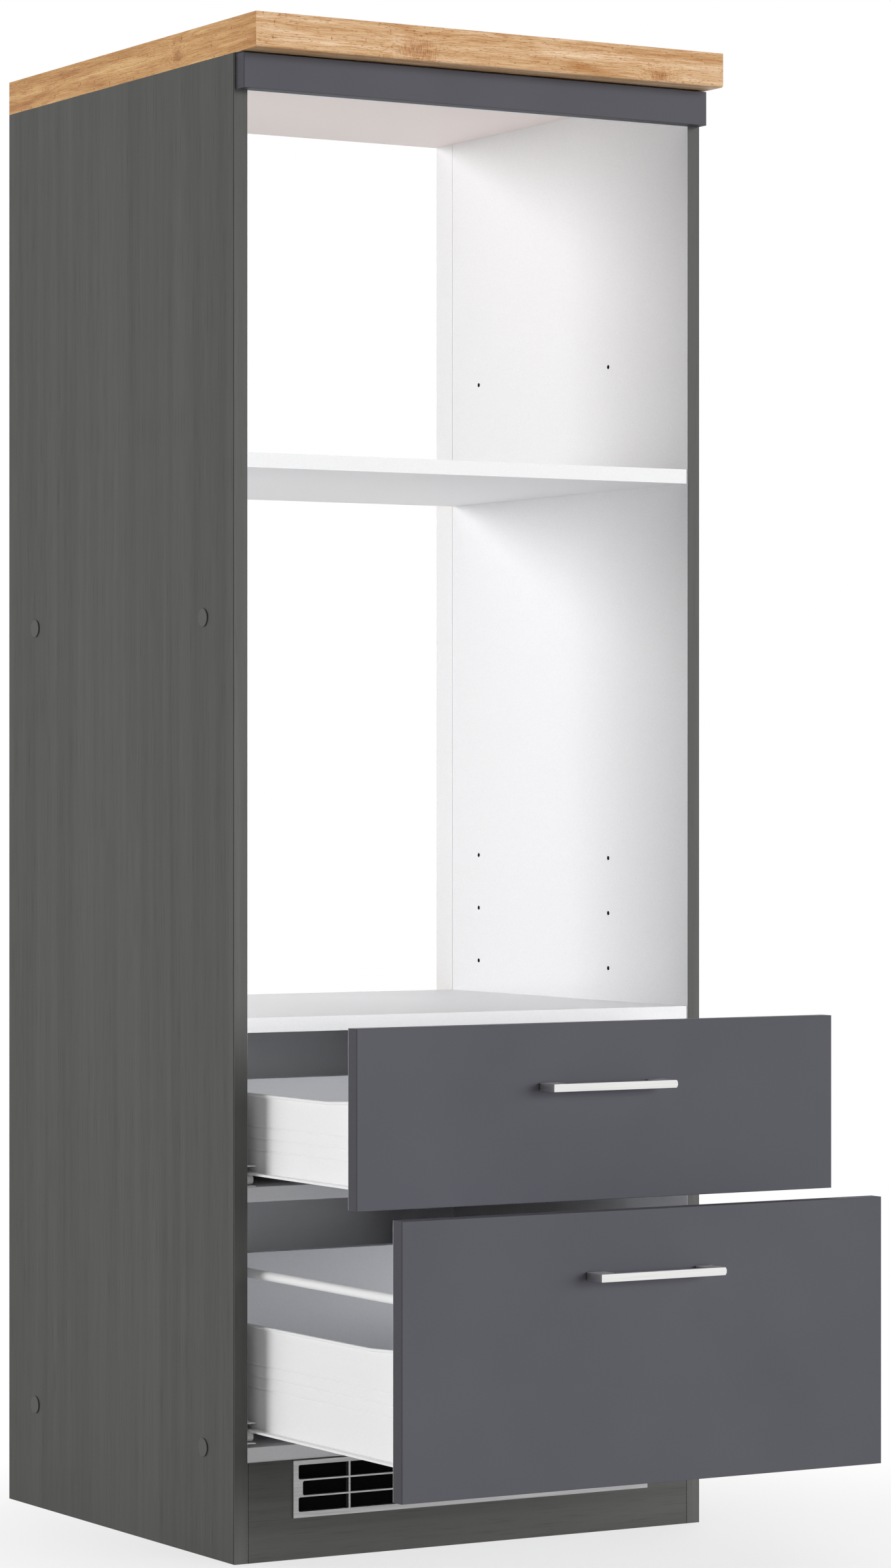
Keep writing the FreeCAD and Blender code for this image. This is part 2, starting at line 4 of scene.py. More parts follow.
import bmesh
import bpy
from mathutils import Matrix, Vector


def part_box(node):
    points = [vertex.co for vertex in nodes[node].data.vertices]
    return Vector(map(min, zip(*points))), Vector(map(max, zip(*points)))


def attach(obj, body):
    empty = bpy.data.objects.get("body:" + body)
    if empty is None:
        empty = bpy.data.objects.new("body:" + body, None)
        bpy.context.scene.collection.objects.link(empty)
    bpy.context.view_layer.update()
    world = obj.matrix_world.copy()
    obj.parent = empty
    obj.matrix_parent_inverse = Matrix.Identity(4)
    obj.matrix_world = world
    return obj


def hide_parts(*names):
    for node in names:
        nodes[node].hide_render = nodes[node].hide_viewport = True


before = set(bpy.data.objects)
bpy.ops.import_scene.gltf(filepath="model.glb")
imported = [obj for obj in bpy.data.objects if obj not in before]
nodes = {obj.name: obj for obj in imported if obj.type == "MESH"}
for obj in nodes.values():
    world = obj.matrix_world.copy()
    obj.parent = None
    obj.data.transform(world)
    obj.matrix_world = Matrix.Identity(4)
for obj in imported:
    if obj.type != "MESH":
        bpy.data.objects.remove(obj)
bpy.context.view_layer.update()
bpy.ops.object.select_all(action="DESELECT")


# Side panels: 16 mm chipboard, pressed with a graphite wood-grain melamine outside and a white one inside.
# The front edge carries a slightly paler band with a fine dark glue line; the groove is painted white, the
# drilled holes carry near-black painted shade, and the rear edge shows the bare board.

def linear(code):
    """A linear colour from an sRGB hex value."""
    parts = [int(code[i:i + 2], 16) / 255 for i in (1, 3, 5)]
    return (*[c / 12.92 if c <= 0.04045 else ((c + 0.055) / 1.055) ** 2.4 for c in parts], 1)


def new_material(name):
    """An empty material, its node tree and the socket of its Object coordinates."""
    material = bpy.data.materials.new(name)
    material.use_nodes = True
    tree = material.node_tree
    tree.nodes.clear()
    return material, tree, add_node(tree, "ShaderNodeTexCoord").outputs["Object"]


def add_node(tree, kind, inputs=(), stops=(), **settings):
    """Adds a node with its settings and links. An input is a value, a socket, or a node for its first output
    in use; stops fill a ramp. A Mix node's inputs go by number: 0 is its factor, 4 and 5 its vectors, 6 and 7
    its colours."""
    node = tree.nodes.new(kind)
    for name, value in settings.items():
        setattr(node, name, value)
    for name, value in dict(inputs).items():
        if isinstance(value, bpy.types.Node):
            value = next(socket for socket in value.outputs if socket.enabled)
        if isinstance(value, bpy.types.NodeSocket):
            tree.links.new(value, node.inputs[name])
        else:
            node.inputs[name].default_value = value
    for i, (position, code) in enumerate(stops):
        elements = node.color_ramp.elements
        element = elements[i] if i < 2 else elements.new(position)
        element.position = position
        element.color = linear(code)
    return node


def finish_material(tree, colour, relief, depth_mm, dullness, **shader):
    """Joins a colour and a relief to the material's shader. The relief lies mostly between 0.3 and 0.7 and
    also sets the roughness, from that of its hollows to that of its crests; the other sockets take plain
    values."""
    bump = add_node(tree, "ShaderNodeBump", {"Strength": 1.0, "Distance": depth_mm / 1000, "Height": relief})
    roughness = add_node(tree, "ShaderNodeMapRange", {"Value": relief, "From Min": 0.3, "From Max": 0.7,
                                                      "To Min": dullness[0], "To Max": dullness[1]})
    inputs = {name.replace("_", " "): value for name, value in shader.items()}
    surface = add_node(tree, "ShaderNodeBsdfPrincipled", {"Base Color": colour, "Normal": bump,
                                                          "Roughness": roughness, **inputs})
    add_node(tree, "ShaderNodeOutputMaterial", {"Surface": surface})


def graphite_grain(tree, place, squeeze, pore_strength):
    """Colour and relief of the graphite decor: straight streaks of 8 mm in soft bands of 26 mm, drawn out
    along the axis that is squeezed, with short pores between them."""
    grid = add_node(tree, "ShaderNodeMapping", {"Vector": place, "Scale": squeeze})
    streaks = add_node(tree, "ShaderNodeTexNoise", {"Vector": grid, "Scale": 1000 / 8, "Detail": 3.0,
                                                    "Roughness": 0.5})
    bands = add_node(tree, "ShaderNodeTexNoise", {"Vector": grid, "Scale": 1000 / 26, "Detail": 2.0})
    short = add_node(tree, "ShaderNodeMapping", {"Vector": grid, "Scale": (8, 8, 8)})
    pores = add_node(tree, "ShaderNodeTexNoise", {"Vector": short, "Scale": 1000 / 12, "Detail": 2.0})
    streaked = add_node(tree, "ShaderNodeValToRGB", {"Fac": streaks},
                        [(0.3, "#5B5B59"), (0.5, "#5D5D5B"), (0.7, "#5F5F5D")])
    banded = add_node(tree, "ShaderNodeValToRGB", {"Fac": bands}, [(0.34, "#EEEEEE"), (0.66, "#FFFFFF")])
    pored = add_node(tree, "ShaderNodeValToRGB", {"Fac": pores}, [(0.3, "#E8E8E8"), (0.42, "#FFFFFF")])
    colour = add_node(tree, "ShaderNodeMix", {0: 1.0, 6: streaked, 7: banded},
                      data_type="RGBA", blend_type="MULTIPLY")
    colour = add_node(tree, "ShaderNodeMix", {0: pore_strength, 6: colour, 7: pored},
                      data_type="RGBA", blend_type="MULTIPLY")
    return colour, pores


def white_pearl(tree, place, hollow, crest):
    """Colour and relief of cool white melamine: a faint pearl emboss of about 1.5 mm."""
    pearl = add_node(tree, "ShaderNodeTexNoise", {"Vector": place, "Scale": 1000 / 1.5, "Detail": 1.0})
    return add_node(tree, "ShaderNodeValToRGB", {"Fac": pearl}, [(0.3, hollow), (0.7, crest)]), pearl


def bare_chipboard(tree, place):
    """Colour of a cut chipboard edge: pressed flakes of about 2.6 mm."""
    chips = add_node(tree, "ShaderNodeTexVoronoi", {"Vector": place, "Scale": 1000 / 2.6})
    return add_node(tree, "ShaderNodeValToRGB", {"Fac": chips.outputs["Color"]},
                    [(0.1, "#8F6E48"), (0.5, "#B8966A"), (0.9, "#D3B68C")])


def dress(material, *names):
    """Gives CAD nodes their finish."""
    for name in names:
        nodes[name].material_slots[0].material = material


# Melamine over an embossed plate: a dull, almost glossless skin with soft vertical streaks.
side_board, tree, place = new_material("graphite_and_white_melamine_board")
low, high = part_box("right_side_panel")
white_film, graphite_film, rear_cut = 0.0001, 0.0002, 0.0004
band_depth, glue_depth, band_lift = 0.0008, 0.0026, 1.16
groove_margin = 0.0017
groove_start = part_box("back_panel")[0].y - groove_margin
axes = add_node(tree, "ShaderNodeSeparateXYZ", {"Vector": place})
outward = add_node(tree, "ShaderNodeMath", {0: axes.outputs["X"]}, operation="ABSOLUTE")
decor, decor_relief = graphite_grain(tree, place, (1, 1, 0.025), 0.7)
white, _ = white_pearl(tree, place, "#EAEAEB", "#EFEFF0")
behind_band = add_node(tree, "ShaderNodeMath", {0: axes.outputs["Y"], 1: low.y + band_depth},
                       operation="GREATER_THAN")
behind_glue = add_node(tree, "ShaderNodeMath", {0: axes.outputs["Y"], 1: low.y + glue_depth},
                       operation="GREATER_THAN")
from_groove = add_node(tree, "ShaderNodeMath", {0: axes.outputs["Y"], 1: groove_start},
                       operation="GREATER_THAN")
at_rear = add_node(tree, "ShaderNodeMath", {0: axes.outputs["Y"], 1: high.y - rear_cut},
                   operation="GREATER_THAN")
in_skin = add_node(tree, "ShaderNodeMath", {0: outward, 1: high.x - graphite_film}, operation="GREATER_THAN")
past_white = add_node(tree, "ShaderNodeMath", {0: outward, 1: low.x + white_film}, operation="GREATER_THAN")
# Painted shade: the cut faces in front of the groove, mostly the walls of the drilled holes, are near-black.
cut_and_hole_shade = add_node(tree, "ShaderNodeMix", {0: from_groove, 6: linear("#1B1714"), 7: linear("#F3F3F3")},
               data_type="RGBA")
cut_and_hole_shade = add_node(tree, "ShaderNodeMix", {0: at_rear, 6: cut_and_hole_shade, 7: bare_chipboard(tree, place)}, data_type="RGBA")
board = add_node(tree, "ShaderNodeMix", {0: in_skin, 6: cut_and_hole_shade, 7: decor}, data_type="RGBA")
glued = add_node(tree, "ShaderNodeMix", {0: behind_glue, 6: linear("#2A2A28"), 7: board}, data_type="RGBA")
band = add_node(tree, "ShaderNodeVectorMath", {0: decor, "Scale": band_lift}, operation="SCALE")
banded = add_node(tree, "ShaderNodeMix", {0: behind_band, 6: band, 7: glued}, data_type="RGBA")
colour = add_node(tree, "ShaderNodeMix", {0: past_white, 6: white, 7: banded}, data_type="RGBA")
finish_material(tree, colour, decor_relief, 0.05, (0.74, 0.6), Specular_IOR_Level=0.15)
dress(side_board, "left_side_panel", "right_side_panel")


# Cover caps: moulded graphite plastic discs, pushed into the sides over the connecting bolts, with the
# fine spark texture of their mould.

# Moulded plastic: a dull, even grey, a little darker than the board around it.
caps, tree, place = new_material("graphite_moulded_plastic")
spark = add_node(tree, "ShaderNodeTexNoise", {"Vector": place, "Scale": 1000 / 0.8, "Detail": 2.0})
colour = add_node(tree, "ShaderNodeValToRGB", {"Fac": spark}, [(0.3, "#4C4C4A"), (0.7, "#555553")])
finish_material(tree, colour, spark, 0.03, (0.6, 0.5), Specular_IOR_Level=0.3)
dress(caps, "side_cover_caps")


# Bottom panel, drawer divider, oven floor and microwave shelf: white melamine boards dowelled between the
# sides, with a white edge band in front and the bare chipboard at their rear edge.

# White melamine: an even white with a soft sheen and a faint pearl.
white_board, tree, place = new_material("white_melamine_board")
rear_cut = 0.0002
shelf_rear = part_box("microwave_shelf")[1].y
axes = add_node(tree, "ShaderNodeSeparateXYZ", {"Vector": place})
white, white_relief = white_pearl(tree, place, "#F1F1F2", "#F5F5F6")
rear_edge = add_node(tree, "ShaderNodeMath", {0: axes.outputs["Y"], 1: shelf_rear - rear_cut},
                     operation="GREATER_THAN")
colour = add_node(tree, "ShaderNodeMix", {0: rear_edge, 6: white, 7: bare_chipboard(tree, place)},
                  data_type="RGBA")
finish_material(tree, colour, white_relief, 0.02, (0.5, 0.4), Specular_IOR_Level=0.25)
dress(white_board, "bottom_panel", "drawer_divider", "oven_floor_panel", "microwave_shelf")


# Dowels: ribbed 8 mm beech pins glued into the boards, out of sight once the cabinet stands.
# Beech shows short brown ray flecks along the pin.

beech, tree, place = new_material("beech_dowel")
grid = add_node(tree, "ShaderNodeMapping", {"Vector": place, "Scale": (0.12, 1, 1)})
flecks = add_node(tree, "ShaderNodeTexNoise", {"Vector": grid, "Scale": 1000 / 0.6, "Detail": 3.0})
colour = add_node(tree, "ShaderNodeValToRGB", {"Fac": flecks}, [(0.3, "#B98A5C"), (0.7, "#D8B389")])
finish_material(tree, colour, flecks, 0.05, (0.65, 0.55))
dress(beech, "joint_dowels")


# Worktop: a 38 mm chipboard slab wrapped in an oak decor laminate. The decor runs along the width on the
# top and the front, along the depth on the two ends, and turns under the front edge; behind the fascia the
# underside carries a pale backing sheet, and the rear edge is bare.

# Oak print: soft golden bands of 11 mm that sway a little, hairlines of 1 mm, short dark pores drawn at
# 0.7 mm so that they show, a few knots as feathery brown patches, and slanting ticks near the left end.
oak, tree, place = new_material("oak_decor_laminate")
low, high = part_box("worktop")
end_skin, under_skin, rear_cut = 0.0002, 0.00003, 0.0002
backing_start = -0.012
sway_depth, knot_pull, far_off = 0.007, 0.004, 9.0
ticks_start, ticks_full = -0.06, -0.2
# Each knot's place in metres and its reach in millimetres.
knots = [((-0.1, low.y, 1.633), 16), ((0.215, low.y, 1.628), 7), ((0.12, 0.21, high.z), 15),
         ((-0.18, 0.36, high.z), 12), ((low.x, 0.13, 1.636), 10)]
axes = add_node(tree, "ShaderNodeSeparateXYZ", {"Vector": place})
outward = add_node(tree, "ShaderNodeMath", {0: axes.outputs["X"]}, operation="ABSOLUTE")
at_end = add_node(tree, "ShaderNodeMath", {0: outward, 1: high.x - end_skin}, operation="GREATER_THAN")
turned = add_node(tree, "ShaderNodeCombineXYZ", {"X": axes.outputs["Y"], "Y": axes.outputs["X"],
                                                 "Z": axes.outputs["Z"]})
grain = add_node(tree, "ShaderNodeMix", {0: at_end, 4: place, 5: turned}, data_type="VECTOR")
nearest = far_off
for spot, reach_mm in knots:
    spread = Vector((2, 1, 1)) * reach_mm / 1000
    offset = add_node(tree, "ShaderNodeMapping", {"Vector": place, "Location": spot, "Scale": spread},
                      vector_type="TEXTURE")
    distance = add_node(tree, "ShaderNodeVectorMath", {0: offset}, operation="LENGTH").outputs["Value"]
    nearest = add_node(tree, "ShaderNodeMath", {0: distance, 1: nearest}, operation="MINIMUM")
pull = add_node(tree, "ShaderNodeMapRange", {"Value": nearest, "From Min": 0.0, "From Max": 2.5,
                                             "To Min": knot_pull, "To Max": 0.0},
                interpolation_type="SMOOTHSTEP")
slow = add_node(tree, "ShaderNodeMapping", {"Vector": grain, "Scale": (0.22, 1, 1)})
sway = add_node(tree, "ShaderNodeTexNoise", {"Vector": slow, "Scale": 1000 / 35, "Detail": 1.0})
sway = add_node(tree, "ShaderNodeMath", {0: sway, 1: sway_depth, 2: pull}, operation="MULTIPLY_ADD")
bulge = add_node(tree, "ShaderNodeCombineXYZ", {"Y": sway, "Z": sway})
grain = add_node(tree, "ShaderNodeVectorMath", {0: grain, 1: bulge}, operation="ADD")
long = add_node(tree, "ShaderNodeMapping", {"Vector": grain, "Scale": (0.06, 1, 1)})
dashes = add_node(tree, "ShaderNodeMapping", {"Vector": grain, "Scale": (0.13, 1, 1)})
longest = add_node(tree, "ShaderNodeMapping", {"Vector": grain, "Scale": (0.03, 1, 1)})
across = add_node(tree, "ShaderNodeMapping", {"Vector": grain, "Scale": (1, 0.15, 0.15)})
slanted = add_node(tree, "ShaderNodeMapping", {"Vector": grain, "Scale": (110, 40, 40),
                                               "Rotation": (0, math.radians(25), 0)})
figure = add_node(tree, "ShaderNodeTexNoise", {"Vector": long, "Scale": 1000 / 11, "Detail": 3.0,
                                               "Roughness": 0.55, "Distortion": 0.25})
lines = add_node(tree, "ShaderNodeTexNoise", {"Vector": longest, "Scale": 1000 / 1.0, "Detail": 3.0,
                                              "Roughness": 0.6})
pores = add_node(tree, "ShaderNodeTexNoise", {"Vector": dashes, "Scale": 1000 / 0.7, "Detail": 1.0})
feather = add_node(tree, "ShaderNodeTexNoise", {"Vector": across, "Scale": 1000 / 1.0, "Detail": 2.0})
rays = add_node(tree, "ShaderNodeTexVoronoi", {"Vector": slanted, "Scale": 1.0})
colour = add_node(tree, "ShaderNodeValToRGB", {"Fac": figure},
                  [(0.32, "#BF9060"), (0.45, "#D5AF84"), (0.56, "#DFBC96"), (0.68, "#EFD4B3")])
lined = add_node(tree, "ShaderNodeValToRGB", {"Fac": lines}, [(0.34, "#D8B88E"), (0.56, "#FFFFFF")])
pored = add_node(tree, "ShaderNodeValToRGB", {"Fac": pores}, [(0.29, "#9C6C3C"), (0.36, "#FFFFFF")])
feathered = add_node(tree, "ShaderNodeValToRGB", {"Fac": feather}, [(0.36, "#A87A4A"), (0.52, "#FFFFFF")])
rayed = add_node(tree, "ShaderNodeValToRGB", {"Fac": rays.outputs["Distance"]},
                 [(0.05, "#8A5E36"), (0.11, "#FFFFFF")])
knotted = add_node(tree, "ShaderNodeValToRGB", {"Fac": nearest},
                   [(0.0, "#B88A58"), (0.45, "#DDBD95"), (1.0, "#FFFFFF")])
near_knot = add_node(tree, "ShaderNodeMapRange", {"Value": nearest, "From Min": 0.1, "From Max": 1.3,
                                                  "To Min": 0.75, "To Max": 0.0})
near_left = add_node(tree, "ShaderNodeMapRange", {"Value": axes.outputs["X"], "From Min": ticks_start,
                                                  "From Max": ticks_full, "To Min": 0.1, "To Max": 0.7})
end_tone = add_node(tree, "ShaderNodeMix", {0: at_end, 6: linear("#FFFFFF"), 7: linear("#F1E0B8")},
                    data_type="RGBA")
for shade, strength in ((lined, 0.85), (pored, 0.75), (feathered, near_knot), (rayed, near_left),
                        (knotted, 0.5), (end_tone, 1.0)):
    colour = add_node(tree, "ShaderNodeMix", {0: strength, 6: colour, 7: shade},
                      data_type="RGBA", blend_type="MULTIPLY")
below = add_node(tree, "ShaderNodeMath", {0: axes.outputs["Z"], 1: low.z + under_skin}, operation="LESS_THAN")
behind_fascia = add_node(tree, "ShaderNodeMath", {0: axes.outputs["Y"], 1: backing_start},
                         operation="GREATER_THAN")
backing = add_node(tree, "ShaderNodeMath", {0: below, 1: behind_fascia}, operation="MULTIPLY")
at_rear = add_node(tree, "ShaderNodeMath", {0: axes.outputs["Y"], 1: high.y - rear_cut},
                   operation="GREATER_THAN")
colour = add_node(tree, "ShaderNodeMix", {0: backing, 6: colour, 7: linear("#FBF0EC")}, data_type="RGBA")
colour = add_node(tree, "ShaderNodeMix", {0: at_rear, 6: colour, 7: bare_chipboard(tree, place)},
                  data_type="RGBA")
finish_material(tree, colour, pores, 0.06, (0.6, 0.44))
dress(oak, "worktop")


# Back panel of the drawer compartment: 3 mm hardboard slid into the sides' grooves, lacquered white in
# front and left brown and fibrous behind.

# Hardboard: a cool white skin on which the matted fibres of 2.5 mm are a faint relief, and bare brown behind.
hardboard, tree, place = new_material("white_lacquered_hardboard")
lacquer = 0.0008
front_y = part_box("back_panel")[0].y
axes = add_node(tree, "ShaderNodeSeparateXYZ", {"Vector": place})
fibres = add_node(tree, "ShaderNodeTexNoise", {"Vector": place, "Scale": 1000 / 2.5, "Detail": 4.0})
brown = add_node(tree, "ShaderNodeValToRGB", {"Fac": fibres}, [(0.3, "#7A5C40"), (0.7, "#9C7B58")])
white, _ = white_pearl(tree, place, "#F0F1F5", "#F4F5F9")
behind = add_node(tree, "ShaderNodeMath", {0: axes.outputs["Y"], 1: front_y + lacquer},
                  operation="GREATER_THAN")
colour = add_node(tree, "ShaderNodeMix", {0: behind, 6: white, 7: brown}, data_type="RGBA")
finish_material(tree, colour, fibres, 0.04, (0.65, 0.5), Specular_IOR_Level=0.25)
dress(hardboard, "back_panel")


# Groove strips: white PVC profiles, extruded with a rounded face and two barbs along each flank. They are
# pressed into the sides' grooves above the back panel, where the grooves would stay open.

def pick_faces(test):
    """In edit mode, selects only the faces whose centre and normal pass a test."""
    bpy.ops.mesh.select_mode(type="FACE")
    bpy.ops.mesh.select_all(action="DESELECT")
    shape = bmesh.from_edit_mesh(bpy.context.edit_object.data)
    for face in shape.faces:
        if test(face.calc_center_median(), face.normal):
            face.select_set(True)
    bmesh.update_edit_mesh(bpy.context.edit_object.data)


def pick_edges(test):
    """In edit mode, selects only the edges whose two ends pass a test."""
    bpy.ops.mesh.select_mode(type="EDGE")
    bpy.ops.mesh.select_all(action="DESELECT")
    shape = bmesh.from_edit_mesh(bpy.context.edit_object.data)
    for edge in shape.edges:
        if all(test(vertex.co) for vertex in edge.verts):
            edge.select_set(True)
    bmesh.update_edit_mesh(bpy.context.edit_object.data)


def start_piece(name):
    """Names the primitive just added, settles its place into its mesh and opens it for editing."""
    piece = bpy.context.object
    piece.name = name
    bpy.ops.object.transform_apply(location=True, rotation=True, scale=True)
    bpy.ops.object.mode_set(mode="EDIT")
    return piece


def finish_piece(piece, material, body, slot, *replaced):
    """Gives a modelled piece its finish, its body and the CAD nodes that it stands for."""
    piece.data.materials.clear()
    piece.data.materials.append(material)
    bpy.ops.object.select_all(action="DESELECT")
    piece.select_set(True)
    bpy.context.view_layer.objects.active = piece
    bpy.ops.object.shade_smooth_by_angle(angle=math.radians(35))
    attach(piece, body)
    if replaced:
        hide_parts(*replaced)
    bpy.ops.object.select_all(action="DESELECT")


# Extruded PVC: a smooth cool white with faint lines drawn along its length, 0.6 mm apart.
white_pvc, tree, place = new_material("white_extruded_pvc")
grid = add_node(tree, "ShaderNodeMapping", {"Vector": place, "Scale": (1, 1, 0.01)})
drawn = add_node(tree, "ShaderNodeTexNoise", {"Vector": grid, "Scale": 1000 / 0.6, "Detail": 2.0})
colour = add_node(tree, "ShaderNodeValToRGB", {"Fac": drawn}, [(0.3, "#EAEAEB"), (0.7, "#EFEFF0")])
finish_material(tree, colour, drawn, 0.005, (0.5, 0.42), Specular_IOR_Level=0.25)
face_inset, strip_depth, strip_width, face_round = 0.0002, 0.0072, 0.0033, 0.0004
barb_places, barb_width, barb_height = (0.0028, 0.0048), 0.0006, 0.00012
foot_gap, head_gap, slack = 0.0005, 0.0002, 0.0001
side_low, side_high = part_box("right_side_panel")
panel_low, panel_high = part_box("back_panel")
face_x = side_low.x + face_inset
groove_middle = (panel_low.y + panel_high.y) / 2
foot_z, head_z = panel_high.z + foot_gap, side_high.z - head_gap
centre = (face_x + strip_depth / 2, groove_middle, (foot_z + head_z) / 2)
bpy.ops.mesh.primitive_cube_add(size=1, location=centre, scale=(strip_depth, strip_width, head_z - foot_z))
strip = start_piece("right_groove_strip")
pick_edges(lambda point: point.x < face_x + slack)
bpy.ops.mesh.bevel(offset=face_round, segments=3, affect="EDGES")
barbs = [(side_low.x + start, side_low.x + start + barb_width) for start in barb_places]
for barb in barbs:
    for x in barb:
        bpy.ops.mesh.select_all(action="SELECT")
        bpy.ops.mesh.bisect(plane_co=(x, 0, 0), plane_no=(1, 0, 0))
pick_faces(lambda centre, normal: abs(normal.y) > 0.9 and any(a < centre.x < b for a, b in barbs))
bpy.ops.mesh.extrude_region_shrink_fatten(TRANSFORM_OT_shrink_fatten={"value": barb_height})
bpy.ops.object.mode_set(mode="OBJECT")
twin = strip.copy()
twin.data = strip.data.copy()
twin.name = "left_groove_strip"
bpy.context.collection.objects.link(twin)
twin.rotation_euler.z = math.pi
twin.location.y = groove_middle * 2
bpy.ops.object.select_all(action="DESELECT")
twin.select_set(True)
bpy.context.view_layer.objects.active = twin
bpy.ops.object.transform_apply(location=True, rotation=True, scale=True)
finish_piece(strip, white_pvc, "cabinet", "white_plastic")
finish_piece(twin, white_pvc, "cabinet", "white_plastic")


# Fascia and the rail behind it: the fascia is a strip of the same board as the drawer fronts, with matt
# anthracite foil in front, painted shade in a darker tone on its edge faces, and white melamine behind. It is
# screwed through a white rail that is dowelled between the sides.

def anthracite_foil(board):
    """Matt anthracite foil over a board's face, with a fine orange peel and a soft, even tone; its four edge
    faces carry painted shade in a darker tone, and its rear face is white."""
    low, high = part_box(board)
    middle, half = (low + high) / 2, (high - low) / 2
    face_gap = 0.0003
    material, tree, place = new_material(f"anthracite_matt_foil_{board}")
    axes = add_node(tree, "ShaderNodeSeparateXYZ", {"Vector": place})
    centred = add_node(tree, "ShaderNodeVectorMath", {0: place, 1: middle}, operation="SUBTRACT")
    reach = add_node(tree, "ShaderNodeVectorMath", {0: centred}, operation="ABSOLUTE")
    reach = add_node(tree, "ShaderNodeSeparateXYZ", {"Vector": reach})
    at_end = add_node(tree, "ShaderNodeMath", {0: reach.outputs["X"], 1: half.x - face_gap},
                      operation="GREATER_THAN")
    at_top = add_node(tree, "ShaderNodeMath", {0: reach.outputs["Z"], 1: half.z - face_gap},
                      operation="GREATER_THAN")
    edge_shade_mask = add_node(tree, "ShaderNodeMath", {0: at_end, 1: at_top}, operation="MAXIMUM")
    peel = add_node(tree, "ShaderNodeTexNoise", {"Vector": place, "Scale": 1000 / 1.8, "Detail": 2.0})
    cloud = add_node(tree, "ShaderNodeTexNoise", {"Vector": place, "Scale": 1000 / 160, "Detail": 2.0})
    foil = add_node(tree, "ShaderNodeValToRGB", {"Fac": cloud}, [(0.3, "#53535A"), (0.7, "#57575E")])
    behind = add_node(tree, "ShaderNodeMath", {0: axes.outputs["Y"], 1: high.y - face_gap},
                      operation="GREATER_THAN")
    # Painted shade: the four edge faces are darker than the foil.
    colour = add_node(tree, "ShaderNodeMix", {0: edge_shade_mask, 6: foil, 7: linear("#414147")}, data_type="RGBA")
    white, _ = white_pearl(tree, place, "#EEEFF2", "#F3F4F7")
    colour = add_node(tree, "ShaderNodeMix", {0: behind, 6: colour, 7: white}, data_type="RGBA")
    finish_material(tree, colour, peel, 0.02, (0.6, 0.5), Specular_IOR_Level=0.25)
    return material


dress(anthracite_foil("fascia_panel"), "fascia_panel")
dress(white_board, "top_front_rail")


# Screws: zinc-plated pan-head screws with a cross recess, driven into the boards and the handles' feet.
# Each kind is turned once and copied to its places: short ones for the steel fittings, longer ones for the
# fascia, and stouter ones for the handles.

# Zinc plating: a cool grey metal with spangles of about 3 mm, dulled by a fine grain.
zinc, tree, place = new_material("zinc_plated_steel")
spangle = add_node(tree, "ShaderNodeTexVoronoi", {"Vector": place, "Scale": 1000 / 3}).outputs["Color"]
colour = add_node(tree, "ShaderNodeValToRGB", {"Fac": spangle}, [(0.2, "#AEB2B5"), (0.8, "#C6CACC")])
rubbed = add_node(tree, "ShaderNodeTexNoise", {"Vector": place, "Scale": 1000 / 0.8, "Detail": 2.0})
finish_material(tree, colour, rubbed, 0.01, (0.42, 0.3), Metallic=1.0)


def box_mm(node):
    """The lowest and highest corners of a CAD node in millimetres."""
    low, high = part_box(node)
    return low * 1000, high * 1000


def apply_modifier(piece, kind, **settings):
    """Adds a modifier to a piece and applies it."""
    bpy.context.view_layer.objects.active = piece
    modifier = piece.modifiers.new(kind.title(), kind)
    for name, value in settings.items():
        setattr(modifier, name, value)
    bpy.ops.object.modifier_apply(modifier=modifier.name)


def turned_screw(name, shank_radius, shank_length, head_radius, head_height):
    """A screw along +Z with the seat of its head at the origin, sizes in millimetres."""
    mm = 0.001
    tip_length, tip_taper = shank_length * 0.25, 0.2
    head_round = head_height * 0.6
    slot_width, slot_reach, slot_depth = head_radius * 0.26, head_radius * 0.5, head_height * 0.6
    bpy.ops.mesh.primitive_cylinder_add(vertices=24, radius=head_radius * mm, depth=head_height * mm,
                                        location=(0, 0, -head_height / 2 * mm))
    screw = start_piece(name)
    pick_edges(lambda point: point.z < -head_height * 0.9 * mm)
    bpy.ops.mesh.bevel(offset=head_round * mm, segments=4, affect="EDGES")
    pick_faces(lambda centre, normal: normal.z > 0.9)
    bpy.ops.mesh.inset(thickness=(head_radius - shank_radius) * mm)
    for rise in (shank_length - tip_length, tip_length):
        bpy.ops.mesh.extrude_region_move(TRANSFORM_OT_translate={"value": (0, 0, rise * mm)})
    bpy.ops.transform.resize(value=(tip_taper, tip_taper, 1), center_override=(0, 0, shank_length * mm))
    bpy.ops.object.mode_set(mode="OBJECT")
    bpy.ops.mesh.primitive_cube_add(size=1, location=(0, 0, -head_height * mm),
                                    scale=(slot_width * mm, slot_width * mm, slot_depth * 2 * mm))
    cross = start_piece("cross_recess")
    pick_faces(lambda centre, normal: abs(normal.z) < 0.1)
    bpy.ops.mesh.extrude_faces_move(TRANSFORM_OT_shrink_fatten={"value": slot_reach * mm})
    bpy.ops.object.mode_set(mode="OBJECT")
    bpy.ops.object.select_all(action="DESELECT")
    apply_modifier(screw, "BOOLEAN", object=cross, operation="DIFFERENCE", solver="EXACT")
    bpy.data.objects.remove(cross)
    return screw


def set_copies(name, pattern, places):
    """Copies of a pattern at their places, each turned from +Z to its direction, as one piece."""
    bpy.ops.object.select_all(action="DESELECT")
    for seat, direction in places:
        copy = pattern.copy()
        copy.data = pattern.data.copy()
        bpy.context.collection.objects.link(copy)
        copy.location = Vector(seat) / 1000
        copy.rotation_euler = Vector(direction).to_track_quat("Z", "Y").to_euler()
        copy.select_set(True)
        bpy.context.view_layer.objects.active = copy
    bpy.ops.object.join()
    piece = bpy.context.object
    piece.name = name
    bpy.ops.object.transform_apply(location=True, rotation=True, scale=True)
    return piece


